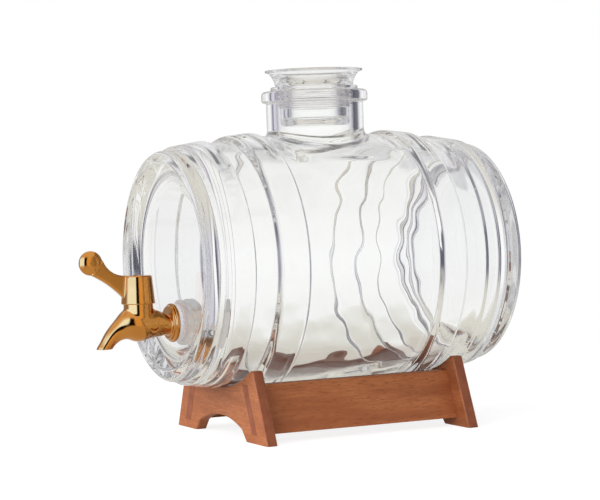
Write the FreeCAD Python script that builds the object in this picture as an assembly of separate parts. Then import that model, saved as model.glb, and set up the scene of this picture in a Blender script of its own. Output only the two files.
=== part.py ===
import FreeCAD, Part
import math
import os

V = FreeCAD.Vector

# Sizes in millimetres. The barrel lies along Y with its tap towards -Y, and stands on the table at Z = 0.

# Stand: two end plates joined by two rails whose ends pass through the plates
CRADLE_FLOOR = 21.6
CRADLE_EASE = 15.6
HORN_RISE = 8.7
HORN_WIDTH = 2.6
SIDE_LEAN = 22.7
PLATE_THICKNESS = 5.0
ARCH_SHOULDER = 22.8
ARCH_SHOULDER_HEIGHT = 4.5
ARCH_RISE = 4.6
ARCH_SPLAY = 4.2
RAIL_THICKNESS = 4.8
RAIL_INSET = 8.2
RAIL_BOTTOM = 3.8
RAIL_RISE = 2.4
TENON_GAP = 0.05
EDGE_EASE = 0.5
SEAT_GAP = 0.3

# Glass barrel: lengths along the axis from the middle out to one rim
BELLY_HALF_LENGTH = 30.3
STEP_LENGTH = 1.8
INNER_HOOP_LENGTH = 11.1
GROOVE_LENGTH = 8.7
OUTER_HOOP_LENGTH = 11.9
RIM_LENGTH = 3.4
RIM_ROUND = 2.0
PLATE_PLAY = 0.4

# Glass barrel: radius in the grooves, and how far the rest stands above or below it
GROOVE_RADIUS = 52.4
BELLY_END_RISE = 1.9
BELLY_CROWN = 0.9
INNER_HOOP_RISE = 3.8
INNER_HOOP_TAPER = 1.2
OUTER_HOOP_RISE = 0.8
OUTER_HOOP_TAPER = 2.0
RIM_DROP = 3.0
HOOP_ROUND = 0.9

# Glass barrel: recessed ends, wall and neck
RIM_FACE_WIDTH = 3.0
RECESS_DEPTH = 5.4
RECESS_SLOPE = 5.5
RECESS_ROUND = 4.0
END_WALL = 5.0
BELLY_WALL = 4.4
SHOULDER_WALL = 5.3
CAVITY_ROUND = 10.0
NECK_BORE = 17.0
NECK_WALL = 4.4
NECK_RISE = 18.9
NECK_FLARE = 3.0
LIP_OVERHANG = 2.0
LIP_HEIGHT = 5.0
LIP_ROUND = 1.6

# Stopper lid: hollow plug in the neck, groove for the seal, and a flared mouth with a thin rim
LID_PLUG_PLAY = 1.8
LID_PLUG_DEPTH = 15.6
LID_PLUG_ROUND = 1.5
LID_GROOVE_DEPTH = 1.2
LID_WAIST_OVERLAP = 0.2
LID_FLARE = 2.7
LID_FLARE_SWEEP = 0.64
LID_RIM_REACH = 1.6
LID_HEIGHT = 7.3
LID_RIM = 0.8
LID_RIM_SLOPE = 0.6
LID_RIM_ROUND = 0.35
LID_LIP = 2.2
LID_WALL = 2.6
LID_FLOOR = 2.8
LID_CUP_ROUND = 3.0

# Silicone seal of the lid: flange on the lip, sleeve in the lid's groove, thin ribs in the bore
SEAL_FLANGE_OVERLAP = 2.2
SEAL_FLANGE = 1.8
SEAL_FLANGE_ROUND = 0.6
SEAL_SLEEVE_PLAY = 1.4
SEAL_DEPTH = 7.8
SEAL_RIBS = 4
SEAL_RIB_PITCH = 1.5
SEAL_RIB_WIDTH = 0.7
SEAL_RIB_TIP = 0.5
SEAL_RIB_GAP = 0.1
SEAL_FIRST_RIB = 1.6
LIP_GAP = 0.1

# Tap: place in the front end, threaded shank, washers and nut
TAP_DROP = 24.1
VALVE_REACH = 17.0
SHANK_RADIUS = 6.0
SHANK_HOLE_GAP = 0.3
SHANK_END = 1.6
SHANK_EASE = 0.6
INLET_RADIUS = 2.6
OUTER_WASHER = 1.2
OUTER_WASHER_WIDTH = 2.0
INNER_WASHER = 1.6
INNER_WASHER_WIDTH = 3.6
SLIP_WASHER = 1.0
SLIP_WASHER_WIDTH = 3.2
NUT_WALL = 2.5
NUT_HEIGHT = 5.5
NUT_CHAMFER = 1.5
FIT_GAP = 0.05
PRESS_GAP = 0.02

# Tap casting: flange, collar, throat that swells to a bowl under the valve, and upright column
FLANGE = 1.6
FLANGE_WIDTH = 2.35
COLLAR = 1.2
COLLAR_WIDTH = 1.3
CAST_EASE = 0.4
THROAT_RADIUS = 5.2
THROAT_GROWTH = 2.0
THROAT_SECTIONS = 4
BOWL_DEPTH = 7.05
BOWL_SQUEEZE = 0.15
BOWL_SLOPE = 6.0
COLUMN_WALL = 2.6
COLUMN_TOP = 12.1
COLUMN_FLARE = 1.8

# Tap spout: its middle line bends down on an arc, from the front of the bowl to a level tip
SPOUT_START = 4.4
SPOUT_START_ANGLE = 14.0
SPOUT_END_ANGLE = 66.0
SPOUT_BEND = 17.2
SPOUT_START_DEPTH = 7.0
SPOUT_SQUEEZE = 0.8
SPOUT_BORE = 2.1
SPOUT_WALL = 0.9
SPOUT_TAPER_POWER = 2.5
SPOUT_SECTIONS = 6
SPOUT_OVERRUN = 0.15
SPOUT_TIP_DROP = 9.5
OVAL_MARGIN = 0.01

# Tap valve: turning plug with its port, two rings, stem, square drive and the keeper above it
VALVE_RADIUS = 3.7
RUNNING_GAP = 0.07
PORT_RADIUS = 2.1
PLUG_FOOT = 0.5
PLUG_EASE = 0.25
O_RING_SECTION = 0.6
O_RING_ROOM = 0.06
O_RING_CLEAR = 1.4
KEEPER_LEDGE = 0.64
KEEPER_DEPTH = 2.7
KEEPER_THICKNESS = 1.6
STEM_RADIUS = 3.0
STEM_RISE = 0.5
DRIVE_HALF_WIDTH = 2.1
DRIVE_HEIGHT = 5.0

# Lever: tapered cap whose skirt laps over the column, flat arm, round paddle and its screw
SKIRT_GAP = 0.2
SKIRT_WALL = 0.8
SKIRT_LAP = 3.2
LEVER_HEIGHT = 12.2
LEVER_TAPER = 1.1
LEVER_TOP_ROUND = 0.8
LEVER_SEAT_GAP = 0.1
ARM_THICKNESS = 3.4
ARM_EASE = 0.7
ARM_ROOT = 4.5
ARM_STEP = 0.2
ARM_FOOT = 6.6
ARM_DROP = 9.7
ARM_TOP_SAG = 2.05
ARM_UNDER_SAG = 0.87
ARM_LAP = 1.0
PADDLE_REACH = 20.8
PADDLE_HEIGHT = 6.0
PADDLE_RADIUS = 5.2
PADDLE_HALF_THICKNESS = 2.5
PADDLE_CROWN = 0.52
PADDLE_EDGE = 1.1
PADDLE_EDGE_ROUND = 0.5
SCREW_RADIUS = 1.0
SCREW_LENGTH = 6.0
SCREW_HEAD_RADIUS = 2.1
SCREW_HEAD = 1.3
SCREW_EASE = 0.4
SCREW_SINK = 1.7
SCREW_PLAY = 0.12
SCREW_SLOT = 0.6
SCREW_HOLE_SPARE = 0.5

# How far every cutting shape runs past what it cuts, and how near two places count as one
CUT_PAST = 1.0
CLOSE = 0.05

# Places that several pieces share
LEAN = math.tan(math.radians(SIDE_LEAN))
CRADLE_RADIUS = GROOVE_RADIUS + CRADLE_EASE
HORN_HEIGHT = CRADLE_FLOOR + HORN_RISE
HORN_X = math.sqrt(CRADLE_RADIUS ** 2 - (CRADLE_RADIUS - HORN_RISE) ** 2)
STAND_HALF_WIDTH = HORN_X + HORN_WIDTH + HORN_HEIGHT * LEAN
RAIL_TOP = CRADLE_FLOOR + RAIL_RISE
HOOP_START = BELLY_HALF_LENGTH + STEP_LENGTH
HOOP_END = HOOP_START + INNER_HOOP_LENGTH
GROOVE_START = HOOP_END + STEP_LENGTH
GROOVE_END = GROOVE_START + GROOVE_LENGTH
OUTER_START = GROOVE_END + STEP_LENGTH
OUTER_END = OUTER_START + OUTER_HOOP_LENGTH
RIM_START = OUTER_END + STEP_LENGTH
HALF_LENGTH = RIM_START + RIM_LENGTH + RIM_ROUND
PLATE_INNER = GROOVE_START + PLATE_PLAY
PLATE_OUTER = PLATE_INNER + PLATE_THICKNESS
BELLY_END_RADIUS = GROOVE_RADIUS + BELLY_END_RISE
BELLY_RADIUS = BELLY_END_RADIUS + BELLY_CROWN
HOOP_RADIUS = GROOVE_RADIUS + INNER_HOOP_RISE
OUTER_HOOP_RADIUS = GROOVE_RADIUS + OUTER_HOOP_RISE
RIM_RADIUS = GROOVE_RADIUS - RIM_DROP
AXIS_Z = CRADLE_FLOOR + SEAT_GAP + GROOVE_RADIUS
FACE_Y = -(HALF_LENGTH - RECESS_DEPTH)
INSIDE_Y = FACE_Y + END_WALL
NECK_RADIUS = NECK_BORE + NECK_WALL
LIP_RADIUS = NECK_RADIUS + LIP_OVERHANG
NECK_TOP = AXIS_Z + BELLY_RADIUS + NECK_RISE
LID_PLUG_RADIUS = NECK_BORE - LID_PLUG_PLAY
LID_GROOVE_RADIUS = LID_PLUG_RADIUS - LID_GROOVE_DEPTH
TAP_Z = AXIS_Z - TAP_DROP
VALVE_Y = FACE_Y - VALVE_REACH
FLANGE_BACK = FACE_Y - OUTER_WASHER
NUT_SEAT = INSIDE_Y + INNER_WASHER + SLIP_WASHER
SHANK_TIP = NUT_SEAT + NUT_HEIGHT + SHANK_END
COLUMN_RADIUS = VALVE_RADIUS + COLUMN_WALL
PLUG_RADIUS = VALVE_RADIUS - RUNNING_GAP
O_RING_HEIGHT = PORT_RADIUS + O_RING_CLEAR
O_RING_HALF_GROOVE = O_RING_SECTION + O_RING_ROOM
PLUG_BOTTOM = -(O_RING_HEIGHT + O_RING_HALF_GROOVE + PLUG_FOOT)
WELL_FLOOR = PLUG_BOTTOM - RUNNING_GAP
KEEPER_SEAT = COLUMN_TOP - KEEPER_DEPTH
KEEPER_RADIUS = VALVE_RADIUS + KEEPER_LEDGE
STEM_TOP = COLUMN_TOP + STEM_RISE
LEVER_BOTTOM = COLUMN_TOP - SKIRT_LAP
LEVER_TOP = TAP_Z + LEVER_BOTTOM + LEVER_HEIGHT
SKIRT_BORE = COLUMN_RADIUS + SKIRT_GAP
SKIRT_RADIUS = SKIRT_BORE + SKIRT_WALL
SCREW_SEAT = LEVER_TOP - SCREW_SINK
SHIFT_Y = (PADDLE_REACH + PADDLE_RADIUS - VALVE_Y - HALF_LENGTH) / 2


def rounding(before, corner, after, radius):
    """Start, middle and end of the arc that rounds one corner of an outline."""
    back = before - corner
    onward = after - corner
    half = back.getAngle(onward) / 2
    reach = min(radius / math.tan(half), 0.45 * back.Length, 0.45 * onward.Length)
    fitted = reach * math.tan(half)
    back.normalize()
    onward.normalize()
    inward = (back + onward).normalize()
    middle = corner + inward * (fitted / math.sin(half) - fitted)
    return corner + back * reach, middle, corner + onward * reach


def outline(points, place):
    """Closed face. A point is (u, v), (u, v, radius) for a rounded corner, or (u, v, (mu, mv))
    for an arc that reaches it through (mu, mv)."""
    corners = [place(point[0], point[1]) for point in points]
    count = len(points)
    extras = [point[2] if len(point) > 2 else 0 for point in points]
    arcs = []
    for i, extra in enumerate(extras):
        if isinstance(extra, tuple) or extra == 0:
            arcs.append((corners[i], None, corners[i]))
        else:
            arcs.append(rounding(corners[i - 1], corners[i], corners[(i + 1) % count], extra))
    edges = []
    for i, extra in enumerate(extras):
        start = arcs[i - 1][2]
        end = arcs[i][0]
        if isinstance(extra, tuple):
            edges.append(Part.Arc(start, place(*extra), end).toShape())
        elif (end - start).Length > 1e-6:
            edges.append(Part.LineSegment(start, end).toShape())
        if arcs[i][1] is not None:
            edges.append(Part.Arc(*arcs[i]).toShape())
    return Part.Face(Part.Wire(edges))


def bowed(start, end, sag):
    """Outline point at end, reached from start by an arc that bows to the left by sag."""
    ahead = end[0] - start[0]
    across = end[1] - start[1]
    share = sag / math.hypot(ahead, across)
    middle_u = (start[0] + end[0]) / 2 - share * across
    middle_v = (start[1] + end[1]) / 2 + share * ahead
    return (end[0], end[1], (middle_u, middle_v))


def turned(points, y, base_z):
    """Solid of revolution about the upright line at (0, y), from (radius, height) points."""
    face = outline(points, lambda r, z: V(r, y, base_z + z))
    return face.revolve(V(0, y, 0), V(0, 0, 1), 360)


def spun(points, z):
    """Solid of revolution about the line along Y at height z, from (y, radius) points."""
    face = outline(points, lambda y, r: V(0, y, z - r))
    return face.revolve(V(0, 0, z), V(0, 1, 0), 360)


def rod(radius, start, end, z):
    """Round bar along Y at x = 0 and height z."""
    return Part.makeCylinder(radius, end - start, V(0, start, z), V(0, 1, 0))


def post(radius, low, high):
    """Round upright bar on the valve's axis between two heights above the tap's axis."""
    return Part.makeCylinder(radius, high - low, V(0, VALVE_Y, TAP_Z + low))


def square_post(half_width, low, high):
    """Square upright bar on the valve's axis between two heights above the tap's axis."""
    corner = V(-half_width, VALVE_Y - half_width, TAP_Z + low)
    return Part.makeBox(2 * half_width, 2 * half_width, high - low, corner)


def side_x(height, inset=0.0):
    """Distance of the stand's leaning side from the middle at a height above the table."""
    return STAND_HALF_WIDTH - height * LEAN - inset


def rail_bar(side, start, end, gap=0.0):
    """Leaning rail, or with a gap the slot that it passes through."""
    slant = math.cos(math.radians(SIDE_LEAN))
    outer = RAIL_INSET - gap / slant
    inner = RAIL_INSET + (RAIL_THICKNESS + gap) / slant
    low = RAIL_BOTTOM - gap
    high = RAIL_TOP + gap
    corners = [
        (side_x(low, outer), low),
        (side_x(high, outer), high),
        (side_x(high, inner), high),
        (side_x(low, inner), low),
    ]
    face = outline(corners, lambda x, z: V(side * x, start, z))
    return face.extrude(V(0, end - start, 0))


def make_rail(side):
    """Rail with its inner top edge hollowed to carry the barrel's inner hoops."""
    bar = rail_bar(side, -PLATE_OUTER, PLATE_OUTER)
    hollow = rod(HOOP_RADIUS + SEAT_GAP, -PLATE_INNER, PLATE_INNER, AXIS_Z)
    return bar.cut(hollow)


def make_end_plate(start):
    """Trapezium plate with an arched foot, a cradle between two horns and the rails' slots."""
    arch_foot = ARCH_SHOULDER + ARCH_SPLAY
    arch_top = ARCH_SHOULDER_HEIGHT + ARCH_RISE
    points = [
        (-STAND_HALF_WIDTH, 0),
        (-arch_foot, 0),
        (-ARCH_SHOULDER, ARCH_SHOULDER_HEIGHT),
        (ARCH_SHOULDER, ARCH_SHOULDER_HEIGHT, (0.0, arch_top)),
        (arch_foot, 0),
        (STAND_HALF_WIDTH, 0),
        (side_x(HORN_HEIGHT), HORN_HEIGHT),
        (HORN_X, HORN_HEIGHT),
        (-HORN_X, HORN_HEIGHT, (0.0, CRADLE_FLOOR)),
        (-side_x(HORN_HEIGHT), HORN_HEIGHT),
    ]
    plate = outline(points, lambda x, z: V(x, start, z)).extrude(V(0, PLATE_THICKNESS, 0))
    rims = [edge for edge in plate.Edges if is_plate_rim(edge)]
    plate = plate.makeChamfer(EDGE_EASE, rims)
    for side in (-1, 1):
        slot = rail_bar(side, start - CUT_PAST, start + PLATE_THICKNESS + CUT_PAST, TENON_GAP)
        plate = plate.cut(slot)
    return plate


def is_plate_rim(edge):
    """True for the edges round an end plate's two faces, except those on the table."""
    box = edge.BoundBox
    return box.YLength < CLOSE < box.ZMax


def barrel_outside():
    """Hooped outside of the barrel with a dished recess at each end."""
    inner_rim = RIM_RADIUS - RIM_ROUND - RIM_FACE_WIDTH
    half = [
        (BELLY_HALF_LENGTH, BELLY_END_RADIUS, (0.0, BELLY_RADIUS)),
        (HOOP_START, HOOP_RADIUS, HOOP_ROUND),
        (HOOP_END, HOOP_RADIUS - INNER_HOOP_TAPER, HOOP_ROUND),
        (GROOVE_START, GROOVE_RADIUS, HOOP_ROUND),
        (GROOVE_END, GROOVE_RADIUS, HOOP_ROUND),
        (OUTER_START, OUTER_HOOP_RADIUS, HOOP_ROUND),
        (OUTER_END, OUTER_HOOP_RADIUS - OUTER_HOOP_TAPER, HOOP_ROUND),
        (RIM_START, RIM_RADIUS, HOOP_ROUND),
        (HALF_LENGTH, RIM_RADIUS, RIM_ROUND),
        (HALF_LENGTH, inner_rim, HOOP_ROUND),
        (-FACE_Y, inner_rim - RECESS_SLOPE, RECESS_ROUND),
        (-FACE_Y, 0),
    ]
    mirrored = [(-y, r, *rest) for y, r, *rest in reversed(half[1:])]
    mirrored.append((-BELLY_HALF_LENGTH, BELLY_END_RADIUS))
    return spun(mirrored + half, AXIS_Z)


def barrel_cavity():
    """Smooth inside of the barrel with rounded corners."""
    end = GROOVE_RADIUS - SHOULDER_WALL
    bend = CAVITY_ROUND * (1 - math.sqrt(0.5))
    points = [
        (INSIDE_Y, 0),
        (INSIDE_Y, end - CAVITY_ROUND),
        (INSIDE_Y + CAVITY_ROUND, end, (INSIDE_Y + bend, end - bend)),
        (-INSIDE_Y - CAVITY_ROUND, end, (0.0, BELLY_RADIUS - BELLY_WALL)),
        (-INSIDE_Y, end - CAVITY_ROUND, (-INSIDE_Y - bend, end - bend)),
        (-INSIDE_Y, 0),
    ]
    return spun(points, AXIS_Z)


def is_neck_foot(edge):
    """True for the curve where the neck meets the belly."""
    box = edge.BoundBox
    on_belly = AXIS_Z + BELLY_RADIUS / 2 < box.ZMin < box.ZMax < NECK_TOP - LIP_HEIGHT
    return on_belly and abs(box.XMax - NECK_RADIUS) < CLOSE


def make_barrel():
    """Hollow glass barrel with its neck on top and the tap's hole through the front end."""
    neck = turned([
        (0, AXIS_Z),
        (NECK_RADIUS, AXIS_Z),
        (NECK_RADIUS, NECK_TOP - LIP_HEIGHT, LIP_ROUND),
        (LIP_RADIUS, NECK_TOP - LIP_HEIGHT, LIP_ROUND),
        (LIP_RADIUS, NECK_TOP, LIP_ROUND),
        (0, NECK_TOP),
    ], 0, 0)
    glass = barrel_outside().fuse(neck).removeSplitter()
    foot = [edge for edge in glass.Edges if is_neck_foot(edge)]
    flare = min(NECK_FLARE, 0.8 * (BELLY_HALF_LENGTH - NECK_RADIUS))
    glass = glass.makeFillet(flare, foot)
    glass = glass.cut(barrel_cavity())
    glass = glass.cut(Part.makeCylinder(NECK_BORE, NECK_TOP - AXIS_Z + CUT_PAST, V(0, 0, AXIS_Z)))
    tap_hole = rod(SHANK_RADIUS + SHANK_HOLE_GAP, FACE_Y - CUT_PAST, INSIDE_Y + CUT_PAST, TAP_Z)
    return glass.cut(tap_hole)


def make_lid():
    """Hollow stopper: plug, groove for the seal and a flared mouth. Heights are from the lip's top."""
    waist = (NECK_BORE + LID_WAIST_OVERLAP, SEAL_FLANGE + LIP_GAP)
    top = waist[1] + LID_HEIGHT
    flare = (waist[0] + LID_FLARE, top - LID_RIM - LID_RIM_SLOPE)
    rim = flare[0] + LID_RIM_REACH
    cup = LID_GROOVE_RADIUS - LID_WALL
    floor = LID_FLOOR - LID_PLUG_DEPTH
    return turned([
        (0, -LID_PLUG_DEPTH),
        (LID_PLUG_RADIUS, -LID_PLUG_DEPTH, LID_PLUG_ROUND),
        (LID_PLUG_RADIUS, -SEAL_DEPTH, LID_RIM_ROUND),
        (LID_GROOVE_RADIUS, -SEAL_DEPTH),
        (LID_GROOVE_RADIUS, waist[1]),
        waist,
        bowed(waist, flare, LID_FLARE_SWEEP),
        (rim, top - LID_RIM, LID_RIM_ROUND),
        (rim, top, LID_RIM_ROUND),
        (rim - LID_LIP, top, LID_RIM_ROUND),
        (cup, waist[1], LID_CUP_ROUND),
        (cup, floor, LID_CUP_ROUND),
        (0, floor),
    ], 0, NECK_TOP)


def make_lid_seal():
    """Silicone sleeve with a flange on the lip and thin ribs that grip the bore."""
    inner = LID_GROOVE_RADIUS + FIT_GAP
    sleeve = NECK_BORE - SEAL_SLEEVE_PLAY
    flange = NECK_BORE + SEAL_FLANGE_OVERLAP
    low = FIT_GAP - SEAL_DEPTH
    high = SEAL_FLANGE + LIP_GAP - FIT_GAP
    seal = turned([
        (inner, low),
        (sleeve, low, LID_RIM_ROUND),
        (sleeve, LIP_GAP),
        (flange, LIP_GAP, SEAL_FLANGE_ROUND),
        (flange, high, SEAL_FLANGE_ROUND),
        (inner, high),
    ], 0, NECK_TOP)
    edge = NECK_BORE - SEAL_RIB_GAP
    for rib in range(SEAL_RIBS):
        top = -SEAL_FIRST_RIB - rib * SEAL_RIB_PITCH
        points = [
            (inner, top - SEAL_RIB_WIDTH),
            (sleeve, top - SEAL_RIB_WIDTH),
            (edge, top - SEAL_RIB_WIDTH * SEAL_RIB_TIP),
            (edge, top),
            (inner, top),
        ]
        seal = seal.fuse(turned(points, 0, NECK_TOP))
    return seal.removeSplitter()


def spout_point(angle):
    """Point of the spout's middle line where it slopes down by an angle in degrees."""
    start = math.radians(SPOUT_START_ANGLE)
    now = math.radians(angle)
    ahead = SPOUT_START + SPOUT_BEND * (math.sin(now) - math.sin(start))
    down = SPOUT_BEND * (math.cos(start) - math.cos(now))
    return V(0, VALVE_Y - ahead, TAP_Z - down)


def spout_angle(part):
    """Slope of the middle line at a share of the way from the bowl to the tip."""
    return SPOUT_START_ANGLE + part * (SPOUT_END_ANGLE - SPOUT_START_ANGLE)


def oval(centre, angle, depth, squeeze):
    """Upright oval section of the casting, leaning by an angle and narrower than deep."""
    slope = math.radians(angle)
    forward = V(0, -math.cos(slope), -math.sin(slope))
    up = V(0, -math.sin(slope), math.cos(slope))
    edge = Part.Ellipse(V(0, 0, 0), depth, depth - squeeze - OVAL_MARGIN).toShape()
    edge.Placement = FreeCAD.Placement(centre, FreeCAD.Rotation(up, forward.cross(up), forward, "ZXY"))
    return Part.Wire([edge])


def throat_section(part):
    """Section at a share of the way from the flange to the valve's axis."""
    start = FLANGE_BACK - FLANGE
    growth = part ** THROAT_GROWTH
    depth = THROAT_RADIUS + (BOWL_DEPTH - THROAT_RADIUS) * growth
    centre = V(0, start + part * (VALVE_Y - start), TAP_Z)
    return oval(centre, BOWL_SLOPE * growth, depth, BOWL_SQUEEZE * growth)


def spout_section(part):
    """Section at a share of the way from the front of the bowl to the spout's tip."""
    angle = spout_angle(part)
    fade = (1 - min(part, 1)) ** SPOUT_TAPER_POWER
    tip = SPOUT_BORE + SPOUT_WALL
    depth = tip + (SPOUT_START_DEPTH - tip) * fade
    return oval(spout_point(angle), angle, depth, SPOUT_SQUEEZE * fade)


def make_horn():
    """Throat, bowl and spout in one smooth run, cut level at the spout's tip."""
    throat = [throat_section(i / (THROAT_SECTIONS - 1)) for i in range(THROAT_SECTIONS)]
    reach = 1 + SPOUT_OVERRUN
    spout = [spout_section(reach * i / (SPOUT_SECTIONS - 1)) for i in range(SPOUT_SECTIONS)]
    horn = Part.makeLoft(throat + spout, True, False)
    size = 2 * (SPOUT_START + SPOUT_BEND + SPOUT_START_DEPTH)
    corner = V(-size / 2, VALVE_Y - size, TAP_Z - SPOUT_TIP_DROP - size)
    return horn.cut(Part.makeBox(size, size, size, corner))


def is_column_foot(edge):
    """True for the curves where the upright column meets the bowl."""
    box = edge.BoundBox
    near = COLUMN_RADIUS + CUT_PAST
    within = VALVE_Y - near < box.YMin < box.YMax < VALVE_Y + near
    return within and TAP_Z < box.ZMin and isinstance(edge.Curve, Part.BSplineCurve)


def spout_bore():
    """Water way from the valve to the spout's tip."""
    start = spout_point(SPOUT_START_ANGLE)
    far = spout_point(spout_angle(1 + SPOUT_OVERRUN))
    path = Part.Wire([Part.Arc(start, spout_point(spout_angle(0.5)), far).toShape()])
    slope = math.radians(SPOUT_START_ANGLE)
    forward = V(0, -math.cos(slope), -math.sin(slope))
    mouth = Part.Wire([Part.makeCircle(SPOUT_BORE, start, forward)])
    bend = path.makePipeShell([mouth], True, False)
    return bend.fuse(rod(SPOUT_BORE, start.y, VALVE_Y, TAP_Z))


def make_tap_body():
    """Tap casting: threaded shank, flange, collar, throat, bowl, valve column and spout."""
    flange_front = FLANGE_BACK - FLANGE
    collar_front = flange_front - COLLAR
    shank = spun([
        (SHANK_TIP, 0),
        (SHANK_TIP, SHANK_RADIUS, SHANK_EASE),
        (FLANGE_BACK, SHANK_RADIUS),
        (FLANGE_BACK, SHANK_RADIUS + FLANGE_WIDTH, CAST_EASE),
        (flange_front, SHANK_RADIUS + FLANGE_WIDTH, CAST_EASE),
        (flange_front, SHANK_RADIUS + COLLAR_WIDTH),
        (collar_front, SHANK_RADIUS + COLLAR_WIDTH, CAST_EASE),
        (collar_front, 0),
    ], TAP_Z)
    column = turned([
        (0, 0),
        (COLUMN_RADIUS, 0),
        (COLUMN_RADIUS, COLUMN_TOP, CAST_EASE),
        (0, COLUMN_TOP),
    ], VALVE_Y, TAP_Z)
    body = make_horn().fuse(column).removeSplitter()
    body = body.makeFillet(COLUMN_FLARE, [edge for edge in body.Edges if is_column_foot(edge)])
    body = body.fuse(shank)
    body = body.cut(rod(INLET_RADIUS, VALVE_Y, SHANK_TIP + CUT_PAST, TAP_Z))
    body = body.cut(spout_bore())
    body = body.cut(post(VALVE_RADIUS, WELL_FLOOR, COLUMN_TOP + CUT_PAST))
    return body.cut(post(KEEPER_RADIUS, KEEPER_SEAT, COLUMN_TOP + CUT_PAST)).removeSplitter()


def make_valve_plug():
    """Turning plug: cross port, ring grooves, stem and square drive."""
    top = KEEPER_SEAT - RUNNING_GAP
    plug = turned([
        (0, PLUG_BOTTOM),
        (PLUG_RADIUS, PLUG_BOTTOM, PLUG_EASE),
        (PLUG_RADIUS, top, PLUG_EASE),
        (STEM_RADIUS, top),
        (STEM_RADIUS, STEM_TOP),
        (0, STEM_TOP),
    ], VALVE_Y, TAP_Z)
    floor = PLUG_RADIUS - 2 * O_RING_SECTION
    for height in (-O_RING_HEIGHT, O_RING_HEIGHT):
        low = height - O_RING_HALF_GROOVE
        high = height + O_RING_HALF_GROOVE
        plug = plug.cut(post(VALVE_RADIUS, low, high).cut(post(floor, low, high)))
    port = V(-VALVE_RADIUS, VALVE_Y, TAP_Z)
    plug = plug.cut(Part.makeCylinder(PORT_RADIUS, 2 * VALVE_RADIUS, port, V(1, 0, 0)))
    drive_top = STEM_TOP + DRIVE_HEIGHT
    plug = plug.fuse(square_post(DRIVE_HALF_WIDTH, STEM_TOP, drive_top))
    hole_floor = SCREW_SEAT - TAP_Z - SCREW_LENGTH - SCREW_HOLE_SPARE
    hole = post(SCREW_RADIUS + FIT_GAP, hole_floor, drive_top + CUT_PAST)
    return plug.cut(hole).removeSplitter()


def make_o_rings():
    """Two rings in the plug's grooves, one each side of the port."""
    radius = PLUG_RADIUS - O_RING_SECTION
    rings = []
    for height in (-O_RING_HEIGHT, O_RING_HEIGHT):
        centre = V(0, VALVE_Y, TAP_Z + height)
        rings.append(Part.makeTorus(radius, O_RING_SECTION - PRESS_GAP, centre))
    return Part.makeCompound(rings)


def make_keeper():
    """Ring pressed into the top of the column to hold the plug down."""
    top = KEEPER_SEAT + KEEPER_THICKNESS
    disc = post(KEEPER_RADIUS - PRESS_GAP, KEEPER_SEAT, top)
    return disc.cut(post(STEM_RADIUS + RUNNING_GAP, KEEPER_SEAT, top))


def lever_arm():
    """Flat arm that sweeps up and out from the cap to the paddle."""
    cap_edge = (SKIRT_RADIUS - LEVER_TAPER - LEVER_TOP_ROUND, ARM_STEP)
    over = (PADDLE_REACH - PADDLE_RADIUS, PADDLE_HEIGHT + ARM_LAP)
    under = (PADDLE_REACH, PADDLE_HEIGHT - PADDLE_RADIUS)
    foot = (ARM_FOOT, -ARM_DROP)
    points = [
        (ARM_ROOT, 0),
        cap_edge,
        bowed(cap_edge, over, -ARM_TOP_SAG),
        under,
        bowed(under, foot, -ARM_UNDER_SAG),
        (ARM_ROOT, -ARM_DROP),
    ]
    half = ARM_THICKNESS / 2
    face = outline(points, lambda ahead, up: V(-half, VALVE_Y - ahead, LEVER_TOP + up))
    arm = face.extrude(V(ARM_THICKNESS, 0, 0))
    curved = [edge for edge in arm.Edges if isinstance(edge.Curve, Part.Circle)]
    return arm.makeFillet(ARM_EASE, curved)


def lever_paddle():
    """Round paddle with softly domed faces."""
    centre = V(0, VALVE_Y - PADDLE_REACH, LEVER_TOP + PADDLE_HEIGHT)
    shoulder = PADDLE_RADIUS - PADDLE_EDGE_ROUND
    left = (-PADDLE_EDGE, shoulder)
    right = (PADDLE_EDGE, shoulder)
    points = [
        (-PADDLE_HALF_THICKNESS, 0),
        bowed((-PADDLE_HALF_THICKNESS, 0), left, PADDLE_CROWN),
        bowed(left, right, PADDLE_EDGE_ROUND),
        bowed(right, (PADDLE_HALF_THICKNESS, 0), PADDLE_CROWN),
    ]
    face = outline(points, lambda x, r: centre + V(x, 0, r))
    return face.revolve(centre, V(1, 0, 0), 360)


def make_lever():
    """Lever: hollow tapered cap over the column, flat arm and round paddle."""
    top = LEVER_BOTTOM + LEVER_HEIGHT
    cap = turned([
        (0, LEVER_BOTTOM),
        (SKIRT_RADIUS, LEVER_BOTTOM),
        (SKIRT_RADIUS - LEVER_TAPER, top, LEVER_TOP_ROUND),
        (0, top),
    ], VALVE_Y, TAP_Z)
    lever = cap.fuse([lever_arm(), lever_paddle()])
    roof = STEM_TOP + LEVER_SEAT_GAP
    socket_top = STEM_TOP + DRIVE_HEIGHT + LEVER_SEAT_GAP
    head_seat = SCREW_SEAT - TAP_Z
    lever = lever.cut(post(SKIRT_BORE, LEVER_BOTTOM - CUT_PAST, roof))
    lever = lever.cut(square_post(DRIVE_HALF_WIDTH + FIT_GAP, LEVER_BOTTOM, socket_top))
    lever = lever.cut(post(SCREW_HEAD_RADIUS + SCREW_PLAY, head_seat, top + CUT_PAST))
    return lever.cut(post(SCREW_RADIUS + SCREW_PLAY, socket_top - CUT_PAST, top)).removeSplitter()


def make_screw():
    """Slotted screw that holds the lever on the plug's stem."""
    screw = turned([
        (0, -SCREW_LENGTH),
        (SCREW_RADIUS, -SCREW_LENGTH, SCREW_EASE),
        (SCREW_RADIUS, 0),
        (SCREW_HEAD_RADIUS, 0),
        (SCREW_HEAD_RADIUS, SCREW_HEAD, SCREW_EASE),
        (0, SCREW_HEAD),
    ], VALVE_Y, SCREW_SEAT)
    half = SCREW_HEAD_RADIUS + CUT_PAST
    corner = V(-half, VALVE_Y - SCREW_SLOT / 2, SCREW_SEAT + SCREW_HEAD / 2)
    return screw.cut(Part.makeBox(2 * half, SCREW_SLOT, SCREW_HEAD, corner))


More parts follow.
